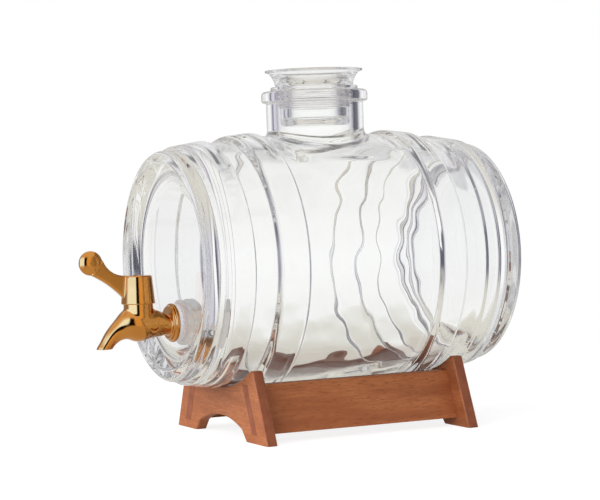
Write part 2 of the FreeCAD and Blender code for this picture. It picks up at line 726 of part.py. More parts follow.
def make_nut():
    """Six-sided nut on the shank inside the barrel, with its outer corners turned off."""
    corner = (SHANK_RADIUS + NUT_WALL) * 2 / math.sqrt(3)
    turns = [math.radians(60 * i + 30) for i in range(6)]
    points = [(corner * math.cos(turn), corner * math.sin(turn)) for turn in turns]
    face = outline(points, lambda x, z: V(x, NUT_SEAT, TAP_Z + z))
    end = NUT_SEAT + NUT_HEIGHT
    blank = spun([
        (NUT_SEAT, 0),
        (NUT_SEAT, corner),
        (end - NUT_CHAMFER, corner),
        (end, corner - NUT_CHAMFER),
        (end, 0),
    ], TAP_Z)
    nut = face.extrude(V(0, NUT_HEIGHT, 0)).common(blank)
    return nut.cut(rod(SHANK_RADIUS + FIT_GAP, NUT_SEAT - CUT_PAST, end + CUT_PAST, TAP_Z))


def shank_washer(thickness, width, start):
    """Flat washer on the tap's shank."""
    outer = rod(SHANK_RADIUS + width, start, start + thickness, TAP_Z)
    return outer.cut(rod(SHANK_RADIUS + FIT_GAP, start, start + thickness, TAP_Z))


def main():
    """Build every piece and write it in the frame whose origin is the middle of the footprint."""
    slip_start = INSIDE_Y + INNER_WASHER
    pieces = {
        "end_plate_front": make_end_plate(-PLATE_OUTER),
        "end_plate_rear": make_end_plate(PLATE_INNER),
        "rail_left": make_rail(-1),
        "rail_right": make_rail(1),
        "glass_barrel": make_barrel(),
        "glass_lid": make_lid(),
        "lid_seal": make_lid_seal(),
        "tap_body": make_tap_body(),
        "outer_washer": shank_washer(OUTER_WASHER, OUTER_WASHER_WIDTH, FLANGE_BACK),
        "inner_washer": shank_washer(INNER_WASHER, INNER_WASHER_WIDTH, INSIDE_Y),
        "slip_washer": shank_washer(SLIP_WASHER, SLIP_WASHER_WIDTH, slip_start),
        "shank_nut": make_nut(),
        "valve_plug": make_valve_plug(),
        "plug_o_rings": make_o_rings(),
        "plug_keeper": make_keeper(),
        "tap_lever": make_lever(),
        "lever_screw": make_screw(),
    }
    os.makedirs("parts", exist_ok=True)
    for name, shape in pieces.items():
        shape.translate(V(0, SHIFT_Y, 0))
        shape.exportStep("parts/%s.step" % name)
        print(name, shape.isValid(), len(shape.Solids), round(shape.Volume, 1), len(shape.Faces))
    print("capacity below the neck, litres:", round(barrel_cavity().Volume / 1e6, 3))
    print("axis height", round(AXIS_Z, 2), "shift", round(SHIFT_Y, 3), "valve y", round(VALVE_Y + SHIFT_Y, 3))


if __name__ == "__main__":
    main()
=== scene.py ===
import logging
import math
from dataclasses import dataclass
from enum import Enum
from typing import Any, Callable, Mapping, Sequence

import bmesh
import bpy
import numpy as np
from mathutils import Matrix, Vector, noise


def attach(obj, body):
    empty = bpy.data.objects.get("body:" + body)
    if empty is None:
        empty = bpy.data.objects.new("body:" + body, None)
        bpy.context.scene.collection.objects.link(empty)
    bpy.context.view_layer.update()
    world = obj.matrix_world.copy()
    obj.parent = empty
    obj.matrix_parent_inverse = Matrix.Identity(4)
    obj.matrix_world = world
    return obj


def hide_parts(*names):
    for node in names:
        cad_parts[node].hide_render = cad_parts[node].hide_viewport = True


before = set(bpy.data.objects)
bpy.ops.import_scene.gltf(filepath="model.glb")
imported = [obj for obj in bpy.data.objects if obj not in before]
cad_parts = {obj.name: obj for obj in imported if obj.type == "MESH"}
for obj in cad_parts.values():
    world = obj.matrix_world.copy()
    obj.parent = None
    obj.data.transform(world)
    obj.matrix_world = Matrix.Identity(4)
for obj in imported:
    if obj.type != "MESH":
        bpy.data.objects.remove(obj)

LOG = logging.getLogger("dispenser")
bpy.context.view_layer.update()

MM = 0.001  # sizes are written in millimetres, and Blender works in metres
AXIS = Vector((0.0, 18.8, 74.3))  # the glass barrel's middle in the frame, in millimetres
MERGE_METRES = 2e-6  # corners of a CAD node's loose triangles that are this close become one
SEAM_METRES = 1e-7  # the same for the points of a skin
LONGEST_ROUNDING = 0.45  # share of a run that one rounded corner may take
BOUNCES = 64  # light runs a long way inside the thick rims
WHITE = (1.0, 1.0, 1.0)

Point2 = tuple[float, float]
Point3 = Sequence[float]
Corners = Sequence[tuple[float, ...]]
Colour = tuple[float, float, float]
RadiusAt = Callable[[float], float]


class Body(Enum):
    """The rigid groups that pieces move with."""

    STAND = "stand"
    BARREL = "barrel"
    LEVER = "lever"
    LID = "lid"


class Grain(Enum):
    """Axis that the wood's fibres run along on a board."""

    ACROSS_BARREL = 0
    ALONG_BARREL = 1


def set_all(thing: Any, **settings: Any) -> Any:
    """Set several properties.

    Args:
        thing: the node, modifier, object or data to change.
        **settings: its properties and their values, set in this order.

    Returns:
        The same thing.
    """
    for name, value in settings.items():
        setattr(thing, name, value)
    return thing


# ---- node trees


class Wire:
    """A value in a node tree that can stand in sums."""

    def __init__(self, graph: "Graph", socket: bpy.types.NodeSocket | None) -> None:
        """Keep the tree and the output socket."""
        self.graph = graph
        self.socket = socket

    def _sum(self, operation: str, first: Any, second: Any) -> "Wire":
        """Add one Math node for two wires or numbers."""
        return self.graph.add("ShaderNodeMath", {0: first, 1: second}, operation=operation)

    def __add__(self, other: Any) -> "Wire":
        """Sum."""
        return self._sum("ADD", self, other)

    def __radd__(self, other: Any) -> "Wire":
        """Sum with a number on the left."""
        return self._sum("ADD", other, self)

    def __sub__(self, other: Any) -> "Wire":
        """Difference."""
        return self._sum("SUBTRACT", self, other)

    def __rsub__(self, other: Any) -> "Wire":
        """Difference from a number on the left."""
        return self._sum("SUBTRACT", other, self)

    def __mul__(self, other: Any) -> "Wire":
        """Product."""
        return self._sum("MULTIPLY", self, other)

    def __rmul__(self, other: Any) -> "Wire":
        """Product with a number on the left."""
        return self._sum("MULTIPLY", other, self)

    def __abs__(self) -> "Wire":
        """Size without its sign."""
        return self._sum("ABSOLUTE", self, 0.0)

    def above(self, edge: float, soft: float) -> "Wire":
        """Step from 0 to 1 about an edge, as wide as `soft`."""
        span = {0: self, 1: edge - soft / 2, 2: edge + soft / 2}
        return self.graph.add("ShaderNodeMapRange", span, interpolation_type="SMOOTHSTEP")

    def sibling(self, name: str) -> "Wire":
        """Another output of the same node."""
        return Wire(self.graph, self.socket.node.outputs[name])


class Graph:
    """Builds a node tree."""

    def __init__(self, tree: bpy.types.NodeTree) -> None:
        """Start with an empty tree."""
        self.tree = tree
        tree.nodes.clear()

    def add(self, kind: str, sockets: Mapping[Any, Any] | None = None, out: Any = 0,
            stops: Sequence[tuple[float, Colour]] = (), **settings: Any) -> Wire:
        """Add any node.

        Args:
            kind: the node's Blender type.
            sockets: input name or number, to a wire or a plain value.
            out: name or number of the output to hand back.
            stops: position and colour of each stop of a colour ramp, in order.
            **settings: node properties, set before its sockets.

        Returns:
            The chosen output as a wire.
        """
        node = set_all(self.tree.nodes.new(kind), **settings)
        while stops and len(node.color_ramp.elements) < len(stops):
            node.color_ramp.elements.new(0.5)
        for i, (place, colour) in enumerate(stops):
            set_all(node.color_ramp.elements[i], position=place, color=(*colour, 1.0))
        for name, value in (sockets or {}).items():
            socket = node.inputs[name]
            if isinstance(value, Wire):
                self.tree.links.new(value.socket, socket)
            elif isinstance(value, tuple) and socket.type == "RGBA":
                socket.default_value = (*value, 1.0)
            else:
                socket.default_value = value
        return Wire(self, node.outputs[out] if len(node.outputs) else None)

    def mix(self, share: Any, first: Any, second: Any) -> Wire:
        """Blend two colours or wires, where a share of 1 is all the second."""
        return self.add("ShaderNodeMix", {0: share, 6: first, 7: second}, out=2, data_type="RGBA")

    def place(self, scale: Colour = (1.0, 1.0, 1.0)) -> Wire:
        """Object coordinates, so many times finer along each axis."""
        where = self.add("ShaderNodeTexCoord", out="Object")
        return self.add("ShaderNodeMapping", {"Vector": where, "Scale": scale})

    def noise(self, where: Wire, scale: float, detail: float = 2.0, rough: float = 0.5) -> Wire:
        """Cloudy value about 0.5, with `detail` octaves that each keep `rough` of the last."""
        knobs = {"Vector": where, "Scale": scale, "Detail": detail, "Roughness": rough}
        return self.add("ShaderNodeTexNoise", knobs)

    def bump(self, height: Wire, size: float, strength: float = 1.0) -> Wire:
        """Normal of a relief that is `size` millimetres high where the height is 1."""
        knobs = {"Height": height, "Distance": size * MM, "Strength": strength}
        return self.add("ShaderNodeBump", knobs)


class Surface(Graph):
    """The node tree of one material."""

    def __init__(self, name: str) -> None:
        """Start the material with an empty tree.

        Args:
            name: the material's plain name.
        """
        self.material = bpy.data.materials.new(name)
        self.material.use_nodes = True
        super().__init__(self.material.node_tree)

    def finish(self, knobs: Mapping[str, Any]) -> bpy.types.Material:
        """End the tree with one Principled shader and hand back the material."""
        self.add("ShaderNodeOutputMaterial", {0: self.add("ShaderNodeBsdfPrincipled", knobs)})
        return self.material


# ---- finishes


@dataclass(frozen=True)
class PressedGlass:
    """Clear soda glass with the faint waviness of a pressed surface."""

    name: str
    wave_height: float = 0.03
    wave_size: float = 14.0
    tint: Colour = (0.985, 0.99, 0.988)
    ior: float = 1.5

    def material(self) -> bpy.types.Material:
        """Build the material.

        Returns:
            The glass material.
        """
        surface = Surface(self.name)
        swell = surface.noise(surface.place(), 1 / (self.wave_size * MM), detail=0.0)
        return surface.finish({
            "Base Color": self.tint,
            "Roughness": 0.0,
            "IOR": self.ior,
            "Transmission Weight": 1.0,
            "Normal": surface.bump(swell, self.wave_height),
        })


@dataclass(frozen=True)
class Plating:
    """Polished copper gold plating under a clear lacquer."""

    name: str = "copper_gold_plating"
    bright: Colour = (0.64, 0.26, 0.038)
    deep: Colour = (0.58, 0.225, 0.028)
    cloud_scale: float = 160.0
    ripple_scale: float = 240.0
    fine_scale: float = 2600.0
    cloud_edge: Point2 = (0.5, 0.5)
    ripple_height: float = 0.004
    rough: float = 0.04
    cloud_rough: float = 0.03
    fine_rough: float = 0.02
    lacquer: float = 0.6
    lacquer_rough: float = 0.03
    lacquer_ior: float = 1.5

    def material(self) -> bpy.types.Material:
        """Build the material.

        Returns:
            The metal material.
        """
        surface = Surface(self.name)
        where = surface.place()
        cloud = surface.noise(where, self.cloud_scale, detail=3.0)
        fine = surface.noise(where, self.fine_scale)
        ripple = surface.noise(where, self.ripple_scale, detail=1.0)
        return surface.finish({
            "Base Color": surface.mix(cloud.above(*self.cloud_edge), self.deep, self.bright),
            "Metallic": 1.0,
            "Roughness": self.rough + self.cloud_rough * cloud + self.fine_rough * fine,
            "Coat Weight": self.lacquer,
            "Coat Roughness": self.lacquer_rough,
            "Coat IOR": self.lacquer_ior,
            "Normal": surface.bump(ripple, self.ripple_height),
        })


@dataclass(frozen=True)
class Beech:
    """Steamed reddish beech with short dark flecks along the grain.

    Scales are features to the metre, and an edge is a noise's middle level and its softness.
    """

    name: str
    grain: Grain
    light: Colour
    dark: Colour
    fleck: Colour
    stretch: float = 0.12
    band_scale: float = 150.0
    fibre_scale: float = 1300.0
    pore_scale: float = 2600.0
    pore_edge: Point2 = (0.66, 0.10)
    band_edge: Point2 = (0.5, 0.4)
    fibre_edge: Point2 = (0.5, 0.26)
    fibre_share: float = 0.55
    fleck_share: float = 0.42
    rough: float = 0.42
    fibre_rough: float = 0.18
    gloss: float = 0.35
    relief: float = 0.05
    relief_share: float = 0.6

    def material(self) -> bpy.types.Material:
        """Build the material.

        Returns:
            The wood material.
        """
        surface = Surface(self.name)
        scale = tuple(self.stretch if axis == self.grain.value else 1.0 for axis in range(3))
        where = surface.place(scale)
        bands = surface.noise(where, self.band_scale, detail=3.0, rough=0.6)
        fibres = surface.noise(where, self.fibre_scale, detail=3.0, rough=0.7)
        flecks = surface.noise(where, self.pore_scale, detail=1.0).above(*self.pore_edge)
        ground = surface.mix(bands.above(*self.band_edge), self.dark, self.light)
        streaks = fibres.above(*self.fibre_edge) * self.fibre_share
        streaked = surface.mix(streaks, ground, self.dark)
        return surface.finish({
            "Base Color": surface.mix(flecks * self.fleck_share, streaked, self.fleck),
            "Roughness": self.rough + self.fibre_rough * fibres,
            "Specular IOR Level": self.gloss,
            "Normal": surface.bump(fibres * 0.5 - flecks, self.relief, self.relief_share),
        })


@dataclass(frozen=True)
class Silicone:
    """Milky clear silicone."""

    name: str = "milky_silicone"
    tint: Colour = (0.985, 0.97, 0.975)
    clear: Colour = (0.995, 0.99, 0.99)
    ior: float = 1.41
    mottle_scale: float = 700.0
    relief: float = 0.02

    def material(self) -> bpy.types.Material:
        """Build the material.

        Returns:
            The silicone material.
        """
        surface = Surface(self.name)
        mottle = surface.noise(surface.place(), self.mottle_scale)
        return surface.finish({
            "Base Color": surface.mix(mottle, self.tint, self.clear),
            "Roughness": 0.0,
            "IOR": self.ior,
            "Transmission Weight": 1.0,
            "Normal": surface.bump(mottle, self.relief),
        })


@dataclass(frozen=True)
class Moulded:
    """Moulded plastic, rubber or steel of the small inner pieces, with an optional painted glow in
    the light colour that lifts their shade.
    """

    name: str
    light: Colour
    dark: Colour
    rough: float
    metallic: float = 0.0
    # painted light: the piece glows in its light colour, which lifts the shade that falls on it
    # behind the flange and the glass
    painted_glow: float = 0.0
    speck_scale: float = 1800.0
    speck_rough: float = 0.12
    relief: float = 0.02

    def material(self) -> bpy.types.Material:
        """Build the material.

        Returns:
            The small piece's material.
        """
        surface = Surface(self.name)
        speck = surface.noise(surface.place(), self.speck_scale, detail=3.0)
        return surface.finish({
            "Base Color": surface.mix(speck, self.dark, self.light),
            "Roughness": self.rough + self.speck_rough * speck,
            "Metallic": self.metallic,
            # painted light: the glow in the light colour brightens the shaded piece
            "Emission Color": self.light,
            "Emission Strength": self.painted_glow,
            "Normal": surface.bump(speck, self.relief),
        })


# ---- mesh building


def rounded_path(corners: Corners, steps: int = 6) -> list[Point2]:
    """Walk an outline and round the corners that carry a radius.

    Args:
        corners: (u, v) or (u, v, radius), the first and last never rounded.
        steps: pieces that each rounding is made of.

    Returns:
        The points of the walk.
    """
    path: list[Point2] = []
    last = len(corners) - 1
    for i, corner in enumerate(corners):
        here = np.array(corner[:2])
        if len(corner) == 2 or i in (0, last):
            path.append(tuple(here))
            continue
        back = np.array(corners[i - 1][:2]) - here
        onward = np.array(corners[i + 1][:2]) - here
        lengths = np.linalg.norm(back), np.linalg.norm(onward)
        back, onward = back / lengths[0], onward / lengths[1]
        half = math.acos(max(-1.0, min(1.0, float(back @ onward)))) / 2
        reach = min(corner[2] / math.tan(half), *(LONGEST_ROUNDING * x for x in lengths))
        inward = (back + onward) / np.linalg.norm(back + onward)
        centre = here + inward * reach / math.cos(half)
        start, end = here + back * reach - centre, here + onward * reach - centre
        swing = math.pi - 2 * half
        for t in np.arange(steps + 1) / steps:
            spoke = math.sin((1 - t) * swing) * start + math.sin(t * swing) * end
            path.append(tuple(centre + spoke / math.sin(swing)))
    return path


def closer_steps(path: Sequence[Point2], spacing: float, guard: float = 0.3) -> list[Point2]:
    """Split long runs of a walk, with a point close to each of their ends.

    Args:
        path: the points of the walk.
        spacing: longest run that stays.
        guard: distance of the close points from the ends.

    Returns:
        The longer list of points.
    """
    result = [path[0]]
    for a, b in zip(path, path[1:]):
        start, end = np.array(a), np.array(b)
        length = float(np.linalg.norm(end - start))
        if length > 4 * guard:
            count = max(1, math.ceil((length - 2 * guard) / spacing))
            inner = np.linspace(guard / length, 1 - guard / length, count + 1)
            result.extend(tuple(start + (end - start) * t) for t in inner)
        result.append(b)
    return result


def bowed_run(start: Point2, end: Point2, sag: float, steps: int) -> list[Point2]:
    """Arc between two points that bows to the left of its way.

    Args:
        start: first point.
        end: last point.
        sag: how far the arc's middle lies from the straight line.
        steps: pieces of the arc.

    Returns:
        The arc's points, without the first.
    """
    chord = np.array(end) - np.array(start)
    length = float(np.linalg.norm(chord))
    left = np.array((-chord[1], chord[0])) / length
    radius = (length * length / 4 + sag * sag) / (2 * sag)
    result = []
    for k in range(1, steps + 1):
        t = k / steps - 0.5
        rise = math.sqrt(radius * radius - (t * length) ** 2) - (radius - sag)
        result.append(tuple(np.array(start) + chord * (t + 0.5) + left * rise))
    return result


def soft_bend(t: float, start: Any, corner: Any, end: Any) -> Any:
    """Value at t, from 0 to 1, of a bend from start to end that a corner pulls out."""
    return (1 - t) ** 2 * start + 2 * t * (1 - t) * corner + t * t * end


class Skin:
    """Points and faces of one piece while it is being made, in millimetres."""

    def __init__(self) -> None:
        """Start with nothing."""
        self.points: list[Point3] = []
        self.faces: list[tuple[int, ...]] = []

    def ring(self, points: Sequence[Point3]) -> list[int]:
        """Add a row of points and hand back their numbers."""
        self.points.extend(points)
        return list(range(len(self.points) - len(points), len(self.points)))

    def band(self, first: Sequence[int], second: Sequence[int]) -> None:
        """Join two closed rows with four-sided faces, or a row and a single point with a fan.

        Args:
            first: numbers of one row.
            second: numbers of the other, as many or just one.
        """
        if len(first) == 1:
            first, second = second, first
        for i, here in enumerate(first):
            j = (i + 1) % len(first)
            beyond = (second[0],) if len(second) == 1 else (second[j], second[i])
            self.faces.append((here, first[j], *beyond))

    def bands(self, start: Sequence[int], rows: Sequence[Sequence[Point3]]) -> list[int]:
        """Join a row to a series of new rows.

        Args:
            start: numbers of the first row.
            rows: places of the points of each further row.

        Returns:
            Numbers of the last row.
        """
        current = list(start)
        for row in rows:
            following = self.ring(row)
            self.band(current, following)
            current = following
        return current

    def piece(self, name: str, shift: Point3, crease: float,
              material: bpy.types.Material) -> bpy.types.Object:
        """Make the Blender object.

        Args:
            name: the piece's name.
            shift: where the piece's own origin lies in the frame, in millimetres.
            crease: angle in degrees above which an edge stays sharp.
            material: its finish.

        Returns:
            The object, at the origin, with its place in its mesh.
        """
        mesh = bpy.data.meshes.new(name)
        places = (np.array(self.points, float) + np.array(shift)) * MM
        mesh.from_pydata(places.tolist(), [], self.faces)
        work = bmesh.new()
        work.from_mesh(mesh)
        bmesh.ops.remove_doubles(work, verts=work.verts, dist=SEAM_METRES)
        bmesh.ops.recalc_face_normals(work, faces=work.faces)
        work.to_mesh(mesh)
        work.free()
        smooth_over(mesh, crease)
        mesh.materials.append(material)
        return show(name, mesh)


def smooth_over(mesh: bpy.types.Mesh, crease: float) -> None:
    """Shade a mesh smooth, apart from edges sharper than so many degrees."""
    mesh.shade_smooth()
    mesh.set_sharp_from_angle(angle=math.radians(crease))


def show(name: str, data: bpy.types.ID) -> bpy.types.Object:
    """Put a mesh, a camera or a lamp in the scene.

    Args:
        name: the object's name.
        data: what it holds.

    Returns:
        The new object.
    """
    thing = bpy.data.objects.new(name, data)
    bpy.context.scene.collection.objects.link(thing)
    return thing


def lathe(path: Sequence[Point2], count: int) -> Skin:
    """Turn a closed outline about the upright axis.

    Args:
        path: (radius, height) points; it starts and ends on the axis or closes on itself.
        count: points in each circle.

    Returns:
        The closed skin.
    """
    skin = Skin()
    turns = np.linspace(0, 2 * math.pi, count, endpoint=False)
    rows = []
    for radius, height in path:
        ways = [(math.cos(a), math.sin(a)) for a in turns] if radius else [(0.0, 0.0)]
        rows.append(skin.ring([(radius * c, radius * s, height) for c, s in ways]))
    for first, second in zip(rows, rows[1:]):
        skin.band(first, second)
    if path[0][0]:
        skin.band(rows[-1], rows[0])
    return skin


def merged_copy(node: str, name: str, flat: float = 0.0) -> bpy.types.Object:
    """Copy a CAD node's shape and merge its loose triangles.

    Args:
        node: the CAD node.
        name: the new piece's name.
        flat: angle in degrees up to which faces are taken as one, or 0 for none.

    Returns:
        The new piece, without a material.
    """
    work = bmesh.new()
    work.from_mesh(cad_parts[node].data)
    bmesh.ops.remove_doubles(work, verts=work.verts, dist=MERGE_METRES)
    if flat:
        bmesh.ops.dissolve_limit(work, angle_limit=math.radians(flat), verts=work.verts,
                                 edges=work.edges)
    mesh = bpy.data.meshes.new(name)
    work.to_mesh(mesh)
    work.free()
    return show(name, mesh)


def baked(piece: bpy.types.Object) -> bpy.types.Object:
    """Turn an object's modifiers into its plain mesh.

    Args:
        piece: the object.

    Returns:
        The same object without modifiers.
    """
    depsgraph = bpy.context.evaluated_depsgraph_get()
    depsgraph.update()
    mesh = bpy.data.meshes.new_from_object(piece.evaluated_get(depsgraph), depsgraph=depsgraph)
    piece.modifiers.clear()
    piece.data = mesh
    return piece


def settle(piece: bpy.types.Object, body: Body, slot: str, *nodes: str) -> None:
    """Let a finished piece move with its body and stand for its CAD nodes.

    Args:
        piece: the finished piece.
        body: the rigid group that it moves with.
        slot: the record's material slot; not used.
        *nodes: CAD nodes that it stands for.
    """
    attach(piece, body.value)
    if nodes:
        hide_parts(*nodes)
    LOG.info("%s: %d faces, on %s, for %s", piece.name, len(piece.data.polygons), body.value,
             nodes or "no node")


class ShapeTree(Graph):
    """A Geometry Nodes tree with named inputs, which becomes a plain mesh."""

    def __init__(self, name: str, sizes: Mapping[str, float | int]) -> None:
        """Start the tree.

        Args:
            name: name of the tree and of its piece.
            sizes: name and value of each input.
        """
        super().__init__(bpy.data.node_groups.new(name, "GeometryNodeTree"))
        self.name = name
        self.values: dict[str, float | int] = {}
        face = self.tree.interface
        face.new_socket("Geometry", in_out="OUTPUT", socket_type="NodeSocketGeometry")
        for size, value in sizes.items():
            kind = "NodeSocketInt" if isinstance(value, int) else "NodeSocketFloat"
            socket = face.new_socket(size, in_out="INPUT", socket_type=kind)
            self.values[socket.identifier] = value
        self.entry = self.add("NodeGroupInput")

    def size(self, name: str) -> Wire:
        """One of the named inputs."""
        return self.entry.sibling(name)

    def rod(self, line: Wire, half: str, sides: int, caps: bool) -> Wire:
        """Give a curve a round section.

        Args:
            line: the curve.
            half: name of the input that holds the section's radius.
            sides: corners of the section.
            caps: whether the ends are closed.

        Returns:
            The rod's mesh.
        """
        section = self.add("GeometryNodeCurvePrimitiveCircle",
                           {"Resolution": sides, "Radius": self.size(half)})
        return self.add("GeometryNodeCurveToMesh",
                        {"Curve": line, "Profile Curve": section, "Fill Caps": caps})

    def grow(self, shape: Wire, material: bpy.types.Material) -> bpy.types.Object:
        """End the tree, run it and keep the result as a plain mesh.

        Args:
            shape: the finished shape.
            material: the finish to set.

        Returns:
            The finished piece, at the origin.
        """
        real = self.add("GeometryNodeRealizeInstances", {"Geometry": shape})
        painted = self.add("GeometryNodeSetMaterial", {"Geometry": real, "Material": material})
        smooth = self.add("GeometryNodeSetShadeSmooth", {"Geometry": painted})
        self.add("NodeGroupOutput", {"Geometry": smooth})
        piece = show(self.name, bpy.data.meshes.new(self.name))
        modifier = set_all(piece.modifiers.new(self.name, "NODES"), node_group=self.tree)
        for identifier, value in self.values.items():
            modifier[identifier] = value
        baked(piece).data.name = self.name
        return piece


# ---- the barrel


@dataclass
class BarrelGlass:
    """Hollow hooped glass barrel with its neck, and the hole for the tap. Sizes in millimetres.

    Corners of outlines are the distance along the axis from the middle, the radius from the
    axis and the rounding.
    """

    material: bpy.types.Material
    round_count: int = 240
    neck_steps: int = 24
    neck_rows: int = 30
    foot_steps: int = 8
    straight_steps: int = 6
    bore_steps: int = 8
    bore_bend_steps: int = 6
    roof_steps: int = 7
    hole_steps: int = 6
    tube_steps: int = 4
    crease: float = 50.0
    half_length: float = 74.6
    face: float = 69.2
    recess_flat: float = 31.4
    recess_edge: float = 35.9
    recess_round: float = 9.0
    rim_inner: float = 44.4
    rim_inner_round: float = 2.5
    rim_radius: float = 49.4
    rim_round: float = 2.0
    outer_hoop: Corners = (
        (-68.9, 49.4, 0.7), (-67.8, 51.2, 1.0), (-55.1, 53.2, 0.9), (-54.2, 52.4, 0.5))
    belly_hoop: Corners = ((-44.9, 52.4, 0.8), (-43.5, 55.0, 2.4), (-32.1, 56.2, 2.0))
    belly_half: float = 30.3
    belly_end: float = 54.3
    belly_round: float = 0.8
    belly_top: float = 55.2
    outer_spacing: float = 2.2
    cavity_half: float = 64.2
    cavity_straight: float = 54.2
    cavity_steps: int = 15
    inner_middle: float = 50.8
    inner_end: float = 47.1
    inner_end_round: float = 7.0
    inner_flat: float = 31.0
    inner_bend: float = 32.5
    inner_bend_round: float = 6.0
    inner_rim: float = 43.0
    inner_spacing: float = 2.0
    front_rise: float = 2.5
    rear_rise: float = 0.6
    flat_rings: Sequence[float] = (0.8, 0.55, 0.3, 0.1)
    neck_radius: float = 21.4
    neck_flare: float = 2.8
    neck_top: float = 68.1
    neck_bore: float = 17.0
    bore_ease: float = 2.0
    bore_top: float = 71.1
    bore_round: float = 0.8
    lip_radius: float = 23.4
    lip_under: float = 69.1
    lip_round: float = 1.6
    lip_spacing: float = 1.6
    top: float = 74.1
    hole_radius: float = 6.3
    hole_drop: float = 24.1
    patch_half: float = 29.0
    inner_patch_half: float = 24.0
    wave: float = 0.60
    wave_length: float = 27.0
    wave_round: float = 1.9
    wave_end: float = 60.0
    wave_fade: float = 12.0
    ripple: float = 0.22
    ripple_scale: float = 2.9

    def outer_radius(self, y: float) -> float:
        """Outer radius of the belly at a distance y from the middle."""
        return self._arc_radius(y, self.belly_half, self.belly_end, self.belly_top)

    def inner_radius(self, y: float) -> float:
        """Inner radius of the cavity at a distance y from the middle."""
        return self._arc_radius(y, self.cavity_straight, self.inner_end, self.inner_middle)

    @staticmethod
    def _arc_radius(y: float, reach: float, end: float, middle: float) -> float:
        """Height at y of an arc.

        Args:
            y: distance from its middle.
            reach: half the arc's length.
            end: height at its ends.
            middle: height at its middle.

        Returns:
            The height.
        """
        sag = middle - end
        bend = (reach * reach + sag * sag) / (2 * sag)
        return middle - bend + math.sqrt(bend * bend - y * y)

    def end_path(self) -> list[Point2]:
        """Outside from the flat of the front recess to the start of the neck's patch.

        Returns:
            (y, radius) points.
        """
        corners = [
            (-self.face, self.recess_flat),
            (-self.face, self.recess_edge, self.recess_round),
            (-self.half_length, self.rim_inner, self.rim_inner_round),
            (-self.half_length, self.rim_radius, self.rim_round),
            *self.outer_hoop,
            *self.belly_hoop,
            (-self.belly_half, self.belly_end, self.belly_round),
            (-self.patch_half, self.outer_radius(self.patch_half)),
        ]
        return closer_steps(rounded_path(corners, steps=7), self.outer_spacing)

    def inner_end_path(self, rise: float) -> list[Point2]:
        """Inside from the flat of the front wall to the start of the neck's patch.

        Args:
            rise: how far the inside follows the rim outwards.

        Returns:
            (y, radius) points.
        """
        wall, start = self.cavity_half, self.cavity_straight
        path = closer_steps(rounded_path([
            (-wall, self.inner_flat),
            (-wall, self.inner_bend, self.inner_bend_round),
            (-wall - rise, self.inner_rim, self.inner_bend_round),
            (-wall + rise, self.inner_end, self.inner_end_round),
            (-start, self.inner_end),
        ], steps=8), self.inner_spacing)
        for k in range(1, self.cavity_steps + 1):
            y = start + (self.inner_patch_half - start) * k / self.cavity_steps
            path.append((-y, self.inner_radius(y)))
        return path

    def turns(self) -> list[float]:
        """Angles from the top of the points in a circle."""
        return [2 * math.pi * i / self.round_count for i in range(self.round_count)]

    def swell(self, y: float, turn: float) -> float:
        """Slow waviness of the pressed inner wall.

        Args:
            y: distance along the axis.
            turn: angle from the top.

        Returns:
            How much the radius grows there.
        """
        x, z = math.sin(turn) * self.wave_round, math.cos(turn) * self.wave_round
        where = Vector((x, y / self.wave_length, z))
        fade = min(1.0, max(0.0, (self.wave_end - abs(y)) / self.wave_fade))
        ripple = self.ripple * noise.noise(where * self.ripple_scale)
        return fade * (self.wave * noise.noise(where) + ripple)

    def wall(self, skin: Skin, front: Sequence[Point2], rear: Sequence[Point2], half: float,
             radius_at: RadiusAt, swell: Callable[[float, float], float],
             ) -> tuple[list[list[int]], list[int]]:
        """Add the outside or the inside, leaving out the square patch round the neck.

        Args:
            skin: the skin to add to.
            front: (y, radius) points of the front end, up to the patch.
            rear: points of the rear end, given as for a front end.
            half: half the patch's length.
            radius_at: radius at a distance from the middle, along the patch.
            swell: what the radius gains at (y, angle).

        Returns:
            Numbers of each circle's points, and of the points round the patch, in order.
        """
        count, steps = self.round_count, self.neck_steps
        belly = [-half + 2 * half * k / self.neck_rows for k in range(1, self.neck_rows)]
        path = [*front, *((y, radius_at(y)) for y in belly), *((-y, r) for y, r in reversed(rear))]
        rows = []
        for y, radius in path:
            circle = [(radius + swell(y, turn), turn) for turn in self.turns()]
            rows.append(skin.ring([(r * math.sin(a), y, r * math.cos(a)) for r, a in circle]))
        first, last = len(front) - 1, len(front) - 1 + self.neck_rows
        for k, (near, far) in enumerate(zip(rows, rows[1:])):
            for i in range(count):
                side = i if i < count / 2 else i - count
                if not (first <= k < last and -steps <= side < steps):
                    j = (i + 1) % count
                    skin.faces.append((near[i], near[j], far[j], far[i]))
        edge = [rows[first][i] for i in range(-steps, steps)]
        edge += [rows[k][steps] for k in range(first, last)]
        edge += [rows[last][i] for i in range(steps, -steps, -1)]
        edge += [rows[k][-steps] for k in range(last, first, -1)]
        return rows, edge

    def build(self) -> None:
        """Make the barrel."""
        skin = Skin()
        front = self.end_path()
        outer_rows, edge = self.wall(skin, front, front, self.patch_half, self.outer_radius,
                                     lambda y, turn: 0.0)
        inner_rows, inner_edge = self.wall(
            skin, self.inner_end_path(self.front_rise), self.inner_end_path(self.rear_rise),
            self.inner_patch_half, self.inner_radius, self.swell)
        self.neck(skin, edge, inner_edge)
        self.front_hole(skin, outer_rows[0], inner_rows[0])
        for rows, y, flat in ((outer_rows, self.face, self.recess_flat),
                              (inner_rows, self.cavity_half, self.inner_flat)):
            shrink = [[(flat * s * math.sin(a), y, flat * s * math.cos(a)) for a in self.turns()]
                      for s in self.flat_rings]
            skin.bands(rows[-1], [*shrink, [(0.0, y, 0.0)]])
        piece = skin.piece("barrel_shell", AXIS, self.crease, self.material)
        settle(piece, Body.BARREL, "clear_glass", "glass_barrel")

